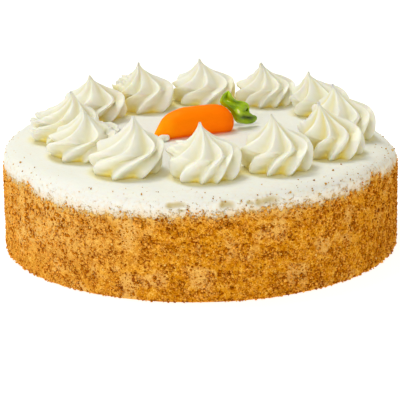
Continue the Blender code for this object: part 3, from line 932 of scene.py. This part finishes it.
def chip():
    """An eight-cornered flake of radius 1."""
    angle = np.arange(6) * math.pi / 3
    ring = np.stack([np.cos(angle), np.sin(angle), 0.22 * np.cos(3 * angle)], axis=1)
    verts = np.concatenate([ring, [(0, 0, 0.85), (0, 0, -0.85)]])
    n = np.arange(6)
    k = (n + 1) % 6
    faces = np.concatenate([np.stack([n, k, np.full(6, 6)], axis=1), np.stack([k, n, np.full(6, 7)], axis=1)])
    return verts, faces


def turned(rng, count):
    """count random rotations, as matrices."""
    q = rng.normal(size=(count, 4))
    q /= np.linalg.norm(q, axis=1, keepdims=True)
    w, x, y, z = q.T
    return np.stack(
        [
            np.stack([1 - 2 * (y * y + z * z), 2 * (x * y - z * w), 2 * (x * z + y * w)], axis=1),
            np.stack([2 * (x * y + z * w), 1 - 2 * (x * x + z * z), 2 * (y * z - x * w)], axis=1),
            np.stack([2 * (x * z - y * w), 2 * (y * z + x * w), 1 - 2 * (x * x + y * y)], axis=1),
        ],
        axis=1,
    )


def scatter(name, material, rng, form, places, outward, sizes, tint):
    """One mesh of many grains, each lumpy, squashed and turned its own way, with painted shade on its buried side."""
    verts, faces = form
    count = len(places)
    lumpy = 1.0 + rng.uniform(-0.34, 0.34, (count, len(verts), 1))
    shape = verts[None] * lumpy * rng.uniform(0.60, 1.15, (count, 1, 3))
    shape = np.einsum("nij,nvj->nvi", turned(rng, count), shape)
    facing = np.einsum("nvi,ni->nv", shape, outward)
    shape = shape * sizes[:, None, None] + places[:, None, :]
    radius = np.hypot(shape[..., 0], shape[..., 1])
    shrink = np.minimum((CAKE_R - 0.02 * MM) / np.maximum(radius, 1e-6), 1.0)
    shape[..., 0] *= shrink
    shape[..., 1] *= shrink
    shape[..., 2] = np.maximum(shape[..., 2], 0.05 * MM)
    all_faces = (faces[None] + (np.arange(count) * len(verts))[:, None, None]).reshape(-1, 3)
    # painted shade: corners facing into the coat are darker, those facing out lighter
    tints = np.clip(tint[:, None] + 0.34 * np.clip(facing, -1, 1) - 0.06, 0, 1)
    obj = build(name, shape.reshape(-1, 3), [all_faces], {"tint": tints.ravel()}, smooth=False)
    obj.data.materials.append(material)
    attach(obj, "root")
    return obj


def on_coat(theta, along):
    """Points and outward directions of the coat, along mm up its side and then over its rim."""
    straight = TOP_Z - RIM_DROP
    a = np.linspace(0.0, 1.0, 200)
    rim_r, rim_z = coat_outline(a[::-1])
    step = np.concatenate([[0.0], np.cumsum(np.hypot(np.diff(rim_r), np.diff(rim_z)))])
    over = np.clip(along - straight, 0.0, step[-1])
    r = np.interp(over, step, rim_r)
    z = np.where(along < straight, along, np.interp(over, step, rim_z))
    lean = 0.5 * math.pi * smoothstep(0.0, 1.0, over / step[-1])
    place = np.stack([r * np.cos(theta), r * np.sin(theta), z], axis=1)
    out = np.stack([np.cos(lean) * np.cos(theta), np.cos(lean) * np.sin(theta), np.sin(lean)], axis=1)
    return place, out, step[-1] + straight


def make_grains():
    kinds = (
        ("crumbs_coarse", chunk(), ((0.230, 0.042, 0.000), (0.560, 0.165, 0.001), (1.000, 0.480, 0.070)), 9000, 201),
        ("crumbs_fine", chip(), ((0.300, 0.062, 0.000), (0.730, 0.265, 0.003), (1.000, 0.540, 0.100)), 15500, 202),
        ("crumbs_pale", chunk(), (GOLD_BROWN, (0.950, 0.470, 0.040), (1.000, 0.660, 0.180)), 1500, 203),
    )
    for name, form, colours, count, seed in kinds:
        rng = np.random.default_rng(seed)
        material = grain_material(name, *colours)
        many = count * 8
        theta = rng.uniform(-math.pi, math.pi, many)
        along = rng.uniform(0.3 * MM, TOP_Z + 6.0 * MM, many)
        place, out, _ = on_coat(theta, along)
        border, thin = border_height(theta)
        above = along - border
        share = crumb_cover(above, thin)
        knots = layered(place * 330.0, 57, 2)
        share = np.where(above > 0.6 * MM, share * (0.35 + 1.5 * smoothstep(0.0, 0.4, knots)), share)
        share = share * smoothstep(6.0 * MM, 2.0 * MM, above)
        clump = clump_at(place)
        if name == "crumbs_coarse":
            share = share * (0.12 + 0.88 * clump)
        elif name == "crumbs_fine":
            share = share * (1.0 - 0.45 * clump)
        else:
            # more pale grains on the left side, as painted light
            share = share * (0.15 + 0.85 * pale_at(place, theta))
        chosen = np.flatnonzero(rng.random(many) < share)[:count]
        place, out, above = place[chosen], out[chosen], above[chosen]
        spread = {"crumbs_coarse": (0.74, 0.26, 0.42, 1.20), "crumbs_fine": (0.52, 0.28, 0.28, 0.85)}
        mid, wide, least, most = spread.get(name, (0.52, 0.28, 0.30, 0.85))
        size = np.clip(rng.lognormal(math.log(mid), wide, len(chosen)), least, most) * MM
        size = size * np.where(above > 1.0 * MM, 0.88, 1.0)
        lift = rng.uniform(-0.35, 0.45, len(chosen)) * size
        place = sag(place + out * lift[:, None])
        place[:, 2] = np.maximum(place[:, 2], size * 0.7)
        # painted light: grains on the left side are lighter
        left = smoothstep(-100.0, -160.0, np.degrees(theta[chosen])) + smoothstep(120.0, 170.0, np.degrees(theta[chosen]))
        tint = np.clip(rng.normal(0.47, 0.27, len(chosen)) + 0.22 * left + 0.16 * smoothstep(0.0, 2.0 * MM, above), 0, 1)
        scatter(name, material, rng, form, place, out, size, tint)


# crumbs that fell on the top near its rim, outside the swirls' feet: direction, distance from the middle, size in mm
def make_fallen(count=400):
    rng = np.random.default_rng(77)
    material = grain_material("crumbs_fallen", (0.330, 0.150, 0.012), (0.580, 0.310, 0.055), (0.850, 0.560, 0.180))
    theta = rng.uniform(-math.pi, math.pi, count)
    r = CAKE_R - 1.2 * MM - rng.exponential(3.8 * MM, count)
    r = np.clip(r, 66.0 * MM, CAKE_R - 1.2 * MM)
    inside = (np.abs(theta) > math.radians(112.0)) & (rng.random(count) < 0.55)
    for i in range(len(SWIRLS)):
        cx, cy = swirl_centre(i)
        inside |= np.hypot(r * np.cos(theta) - cx, r * np.sin(theta) - cy) < 0.97 * SWIRLS[i][2] * MM
    theta, r = theta[~inside], r[~inside]
    size = np.clip(rng.lognormal(math.log(0.32), 0.50, len(r)), 0.15, 1.00) * MM
    a = np.clip((r - FLAT_R) / (CAKE_R - SKIN_IN - FLAT_R), 0.0, 1.0) ** (1 / 0.92)
    _, z = coat_outline(np.arcsin(a) / (0.5 * math.pi))
    place = sag(np.stack([r * np.cos(theta), r * np.sin(theta), z + 0.25 * size], axis=1))
    out = np.tile([0.0, 0.0, 1.0], (len(r), 1))
    scatter("crumbs_fallen", material, rng, chunk(), place, out, size, rng.random(len(r)))


# =================================================================================================
# the sugar carrot
# =================================================================================================
CARROT_TIP = Vector((-29.6 * MM, -7.0 * MM, 0.0))
CARROT_END = Vector((20.6 * MM, 15.6 * MM, 0.0))
CARROT_BOW = 2.6 * MM
CARROT_R = 9.3 * MM
CARROT_SIT = 0.90
CARROT_END_SIT = 6.3 * MM
CARROT_OUTLINE = (
    (0.000, 0.00),
    (0.012, 0.13),
    (0.045, 0.29),
    (0.100, 0.51),
    (0.165, 0.74),
    (0.260, 0.90),
    (0.440, 1.00),
    (0.640, 1.00),
    (0.800, 0.99),
    (0.890, 0.92),
    (0.955, 0.74),
    (0.988, 0.44),
    (1.000, 0.00),
)


def make_carrot(material):
    rings, sides = 96, 96
    along = (CARROT_END - CARROT_TIP).normalized()
    back = Vector((-along.y, along.x, 0.0))
    ring = np.arange(1, rings)
    t = 0.5 - 0.5 * np.cos(math.pi * ring / rings)
    angle = np.arange(sides) * (2 * math.pi / sides)
    T, A = np.meshgrid(t, angle, indexing="ij")
    radius = CARROT_R * curve_through(CARROT_OUTLINE, t)[:, None] * np.ones_like(A)
    sit = np.maximum(CARROT_SIT * np.maximum(radius, 1.1 * MM), CARROT_END_SIT * step_up(T, 0.80, 0.05))
    p = np.stack([60 * T.ravel(), 3 * np.cos(A).ravel(), 3 * np.sin(A).ravel()], axis=1)
    dimple = layered(p * np.array([0.11, 0.5, 0.5]), 61, 3).reshape(T.shape) * 0.28 * MM
    dimple = dimple * smoothstep(0.0, 0.15, T) * smoothstep(1.0, 0.9, T)
    radius = radius + dimple
    lx = CARROT_TIP.x + (CARROT_END.x - CARROT_TIP.x) * T
    ly = CARROT_TIP.y + (CARROT_END.y - CARROT_TIP.y) * T
    side = CARROT_BOW * np.sin(math.pi * T) + radius * np.cos(A)
    x, y = lx + back.x * side, ly + back.y * side
    z = TOP_Z + np.maximum(-0.25 * MM, sit + radius * np.sin(A))
    verts = np.stack([x.ravel(), y.ravel(), z.ravel()], axis=1)
    ends = [
        (CARROT_TIP.x, CARROT_TIP.y, TOP_Z + 1.0 * MM),
        (CARROT_END.x, CARROT_END.y, TOP_Z + CARROT_END_SIT),
    ]
    count = len(verts)
    verts = np.concatenate([verts, ends])
    n = np.arange(sides)
    last = (rings - 2) * sides
    faces = [
        grid_faces(rings - 1, sides)[:, ::-1],
        np.stack([n, (n + 1) % sides, np.full(sides, count)], axis=1),
        np.stack([last + (n + 1) % sides, last + n, np.full(sides, count + 1)], axis=1),
    ]
    obj = build("sugar_carrot", verts, faces, {"along": np.concatenate([T.ravel(), [0.0, 1.0]])})
    fix_normals(obj)
    obj.data.materials.append(material)
    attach(obj, "root")
    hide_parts("carrot")
    return obj


def fix_normals(obj):
    bm = bmesh.new()
    bm.from_mesh(obj.data)
    bmesh.ops.recalc_face_normals(bm, faces=bm.faces)
    bm.to_mesh(obj.data)
    bm.free()


# ---- leaves --------------------------------------------------------------------------------------
LEAF_THICK = 1.25 * MM
# Each leaf is a sheet through rows of points: x, y and height above the cream in mm, and its painted shade, darker
# deeper in a fold, with painted highlights below zero.
LEAF_UPPER = (
    ((17.7, 19.0, 24.4, 0.1), (18.1, 19.0, 24.7, 0.1), (18.4, 19.0, 24.9, 0.0), (18.8, 19.0, 24.5, 0.1), (19.1, 19.0, 23.9, 0.1)),
    ((16.0, 18.5, 22.5, 0.2), (16.9, 17.5, 23.1, 0.5), (17.9, 18.8, 22.8, 0.3), (19.0, 17.6, 23.1, 0.0), (20.0, 19.0, 22.4, 0.1)),
    ((14.2, 19.0, 20.2, 0.0), (15.7, 16.8, 20.9, 0.6), (17.5, 18.8, 20.5, 0.5), (19.5, 16.8, 21.1, 0.3), (21.3, 19.5, 19.9, 0.0)),
    ((13.3, 18.5, 17.7, 0.0), (15.3, 16.0, 18.5, 0.3), (18.3, 18.5, 17.9, -0.2), (21.6, 16.6, 18.8, 0.7), (24.9, 20.5, 17.4, 0.1)),
    ((14.9, 17.5, 15.7, 0.0), (17.4, 15.6, 16.5, 0.5), (21.0, 17.2, 16.4, 0.25), (25.1, 18.2, 16.5, 0.6), (29.3, 21.5, 15.8, 0.1)),
    ((17.6, 16.8, 14.2, 0.1), (20.0, 15.2, 14.7, 0.7), (23.2, 17.8, 14.1, 0.3), (27.0, 16.6, 14.8, 0.3), (31.3, 22.0, 13.7, 0.2)),
    ((19.4, 16.6, 11.8, 0.1), (21.7, 15.4, 12.3, 0.6), (24.5, 15.4, 12.1, -0.2), (27.5, 17.6, 11.6, 0.5), (29.1, 21.5, 10.9, 0.7)),
    ((20.8, 17.0, 9.2, 0.1), (23.4, 16.2, 9.8, 0.6), (26.6, 17.4, 9.5, 0.4), (29.9, 18.6, 9.3, 0.5), (32.5, 21.0, 8.6, 0.4)),
    ((21.7, 18.0, 6.7, 0.1), (24.4, 17.4, 7.3, 0.5), (27.9, 19.4, 7.0, 0.9), (32.1, 21.0, 7.2, 0.9), (36.2, 23.5, 6.6, 0.6)),
    ((22.8, 19.5, 4.7, 0.1), (25.4, 18.6, 4.9, 0.3), (28.9, 21.0, 4.1, 0.2), (32.8, 22.6, 4.0, 0.6), (36.6, 24.5, 4.6, 0.5)),
    ((24.1, 22.0, 3.1, 0.5), (26.4, 21.5, 2.8, 0.5), (29.3, 22.5, 2.1, 0.5), (32.5, 23.5, 1.9, 0.6), (35.2, 25.0, 2.6, 0.6)),
)
# the inner side of the curl, mostly dark: painted shade of the hollow
LEAF_LOWER = (
    ((27.4, 19.5, 13.9, 1.0), (29.0, 20.0, 13.9, 0.9), (30.4, 20.0, 13.9, 0.3), (31.5, 20.0, 13.1, 0.1)),
    ((27.4, 20.5, 11.5, 1.0), (28.9, 23.0, 10.9, 1.0), (30.4, 23.0, 11.2, 0.8), (31.6, 21.0, 11.3, 0.2)),
    ((27.9, 20.0, 9.9, 1.0), (29.3, 21.0, 9.2, 1.0), (30.6, 21.0, 9.5, 1.0), (31.5, 20.5, 10.1, 0.5)),
)


def spline(points, x):
    """Catmull-Rom through the rows of points, read at x in row units."""
    points = np.asarray(points, float)
    n = len(points)
    x = np.clip(x, 0.0, n - 1.0)
    i = np.minimum(np.floor(x).astype(int), n - 2)
    f = (x - i)[:, None]
    p0 = points[np.maximum(i - 1, 0)]
    p1, p2 = points[i], points[i + 1]
    p3 = points[np.minimum(i + 2, n - 1)]
    return 0.5 * (
        2 * p1 + (p2 - p0) * f + (2 * p0 - 5 * p1 + 4 * p2 - p3) * f**2 + (3 * p1 - p0 - 3 * p2 + p3) * f**3
    )


def leaf_sheet(rows, columns, across, seed):
    """Points, faces and painted shade and highlights of one leaf: a smooth sheet through the rows, given its thickness.
    """
    grid = np.array(rows, float)
    along = np.linspace(0.0, grid.shape[0] - 1.0, columns)
    over = np.linspace(0.0, grid.shape[1] - 1.0, across)
    first = np.stack([spline(grid[:, j], along) for j in range(grid.shape[1])], axis=1)
    sheet = np.stack([spline(first[i], over) for i in range(columns)], axis=0)
    # painted shade in the folds, painted highlights below zero
    deep = np.clip(sheet[..., 3], -0.2, 1)
    verts = sheet[..., :3] * MM + np.array([0.0, 0.0, TOP_Z])
    U, V = np.meshgrid(np.linspace(0, 1, columns), np.linspace(0, 1, across), indexing="ij")
    normal = np.cross(np.gradient(verts, axis=0), np.gradient(verts, axis=1))
    normal /= np.maximum(np.linalg.norm(normal, axis=-1, keepdims=True), 1e-9)
    flat = verts.reshape(-1, 3)
    wave = (layered(flat * 260.0, seed, 2) * 0.55 * MM).reshape(U.shape)
    veins = 0.42 * MM * np.sin(V * 4.0 * math.pi + 5.0 * U) * np.sin(math.pi * U)
    verts = verts + normal * (wave + veins)[..., None]
    rounding = np.sqrt(np.clip(1 - np.abs(2 * V - 1) ** 6, 0.0, 1)) * np.sqrt(np.clip(1 - np.abs(2 * U - 1) ** 12, 0.0, 1))
    half = 0.5 * LEAF_THICK * (0.40 + 0.60 * rounding)[..., None]
    front, rear = verts + normal * half, verts - normal * half
    floor = TOP_Z + 0.15 * MM
    front[..., 2] = np.maximum(front[..., 2], floor)
    rear[..., 2] = np.maximum(rear[..., 2], floor)
    n = columns * across
    quads = grid_faces(columns, across, wrap=False)
    loop = np.concatenate(
        [
            np.arange(across),
            np.arange(1, columns) * across + across - 1,
            (columns - 1) * across + np.arange(across - 2, -1, -1),
            np.arange(columns - 2, 0, -1) * across,
        ]
    )
    after = np.roll(loop, -1)
    rim = np.stack([loop, after, after + n, loop + n], axis=1)
    faces = np.concatenate([quads, quads[:, ::-1] + n, rim[:, ::-1]])
    return np.concatenate([front.reshape(-1, 3), rear.reshape(-1, 3)]), faces, np.concatenate([deep.ravel()] * 2)


def make_leaves(material):
    upper, upper_faces, upper_shade_and_highlight = leaf_sheet(LEAF_UPPER, 84, 40, 81)
    lower, lower_faces, lower_shade_and_highlight = leaf_sheet(LEAF_LOWER, 24, 30, 83)
    obj = build(
        "sugar_leaves",
        np.concatenate([upper, lower]),
        [np.concatenate([upper_faces, lower_faces + len(upper)])],
        {"deep": np.concatenate([upper_shade_and_highlight, lower_shade_and_highlight])},
    )
    fix_normals(obj)
    soft = obj.modifiers.new("soft", "SUBSURF")
    soft.levels = soft.render_levels = 1
    obj.data.materials.append(material)
    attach(obj, "root")
    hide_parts("leaves")
    return obj


def make_dab(material):
    """A small lumpy dab of cream in front of the carrot's tip."""
    low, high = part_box("cream_dab")
    bm = bmesh.new()
    bmesh.ops.create_icosphere(bm, subdivisions=5, radius=1.0)
    co = np.array([v.co for v in bm.verts])
    faces = np.array([[v.index for v in f.verts] for f in bm.faces])
    bm.free()
    swell = 1.0 + 0.26 * layered(co * 1.5 + 4.0, 66, 3)
    x = co[:, 0] * 4.0 * swell
    y = co[:, 1] * 2.3 * swell
    z = 2.1 + co[:, 2] * (2.5 - 0.5 * co[:, 0]) * swell
    turn = math.radians(24.0)
    verts = np.stack([x * math.cos(turn) - y * math.sin(turn), x * math.sin(turn) + y * math.cos(turn), z], axis=1) * MM
    verts += np.array([0.5 * (low.x + high.x), 0.5 * (low.y + high.y), TOP_Z])
    verts[:, 2] = np.clip(verts[:, 2], TOP_Z - 0.4 * MM, high.z + 0.3 * MM)
    # painted shade at the foot of the dab
    crevice_shade = 0.2 * np.exp(-np.maximum(verts[:, 2] - TOP_Z, 0.0) / (0.8 * MM))
    obj = build("piped_dab", verts, [faces], {"crevice_shade": crevice_shade})
    obj.data.materials.append(material)
    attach(obj, "root")
    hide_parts("cream_dab")
    return obj


# =================================================================================================
# floor, light and camera
# =================================================================================================
def make_floor():
    rows, columns = 40, 40
    x = np.linspace(-3.0, 3.0, columns)
    X, Y = np.meshgrid(x, x, indexing="ij")
    verts = np.stack([X.ravel(), Y.ravel(), np.full(X.size, -0.2 * MM)], axis=1)
    obj = build("floor", verts, [grid_faces(rows, columns, wrap=False)])
    fix_normals(obj)
    m = Nodes("pale_floor")
    m.set(
        Base_Color=m.mix(m.noise(3.0, 2.0), (0.50, 0.50, 0.50), (0.51, 0.51, 0.505)),
        Roughness=0.9,
        Specular_IOR_Level=0.0,
        Emission_Color=(1.0, 1.0, 1.0),
        Emission_Strength=0.80,
    )
    obj.data.materials.append(m.mat)
    if obj.data.polygons[0].normal.z < 0:
        obj.data.flip_normals()


def make_light():
    world = bpy.data.worlds.new("studio")
    scene.world = world
    world.use_nodes = True
    tree = world.node_tree
    background = tree.nodes["Background"]
    background.inputs["Color"].default_value = (1.0, 1.0, 1.0, 1.0)
    path = tree.nodes.new("ShaderNodeLightPath")
    strength = tree.nodes.new("ShaderNodeMapRange")
    tree.links.new(path.outputs["Is Camera Ray"], strength.inputs["Value"])
    strength.inputs["To Min"].default_value = 0.53
    strength.inputs["To Max"].default_value = 1.1
    tint = tree.nodes.new("ShaderNodeMix")
    tint.data_type = "RGBA"
    tree.links.new(path.outputs["Is Camera Ray"], tint.inputs[0])
    tint.inputs[6].default_value = (1.0, 0.955, 0.74, 1.0)
    tint.inputs[7].default_value = (1.0, 1.0, 1.0, 1.0)
    tree.links.new(tint.outputs[2], background.inputs["Color"])
    tree.links.new(strength.outputs["Result"], background.inputs["Strength"])

    def area(name, position, target, size, power, colour=(1, 1, 1)):
        light = bpy.data.lights.new(name, "AREA")
        light.shape = "DISK"
        light.size = size
        light.energy = power
        light.color = colour
        obj = bpy.data.objects.new(name, light)
        scene.collection.objects.link(obj)
        obj.location = position
        direction = Vector(target) - Vector(position)
        obj.rotation_euler = direction.to_track_quat("-Z", "Y").to_euler()

    area("key", (-0.55, 0.46, 1.90), (0, 0, 0.06), 0.80, 17.2, (0.96, 0.985, 1.0))
    area("front", (-0.90, -2.00, 0.95), (0, 0, 0.04), 1.2, 13.7, (0.99, 0.995, 0.99))
    area("fill_left", (-1.7, -0.5, 0.12), (0, 0, 0.03), 0.9, 1.4)
    area("fill_right", (1.7, -0.4, 0.12), (0, 0, 0.03), 0.9, 0.6)


def make_camera():
    """At the viewing distance and height worked out for the picture, turned so that nothing is shifted."""
    away, height, focal = 1.4273, math.radians(18.0859), 2228.19 / 400.0
    centre_x, centre_y, roll = (201.3753 - 200.0) / 400.0, (237.7064 - 200.0) / 400.0, math.radians(-0.7788)
    at = Vector((0.0, -away * math.cos(height), away * math.sin(height)))
    forward = -at.normalized()
    right, up = Vector((1.0, 0.0, 0.0)), Vector((0.0, math.sin(height), math.cos(height)))
    right_2 = math.cos(roll) * right + math.sin(roll) * up
    up_2 = -math.sin(roll) * right + math.cos(roll) * up
    view = (forward * focal - right_2 * centre_x + up_2 * centre_y).normalized()
    z = -view
    x = (right_2 - z * right_2.dot(z)).normalized()
    y = z.cross(x)
    camera = bpy.data.cameras.new("camera")
    camera.sensor_width = 36.0
    camera.lens = focal * 36.0
    camera.clip_start = 0.05
    camera.clip_end = 30.0
    obj = bpy.data.objects.new("camera", camera)
    scene.collection.objects.link(obj)
    matrix = Matrix((x, y, z)).transposed().to_4x4()
    matrix.translation = at
    obj.matrix_world = matrix
    scene.camera = obj


# =================================================================================================
make_camera()
make_light()
make_floor()
scene.view_settings.view_transform = "Standard"
scene.view_settings.look = "None"

make_coat(coat_material())
cream = cream_material()
for number in range(len(SWIRLS)):
    make_swirl(number, cream)
make_grains()
make_fallen()
make_carrot(carrot_material())
make_leaves(leaf_material())
make_dab(cream)
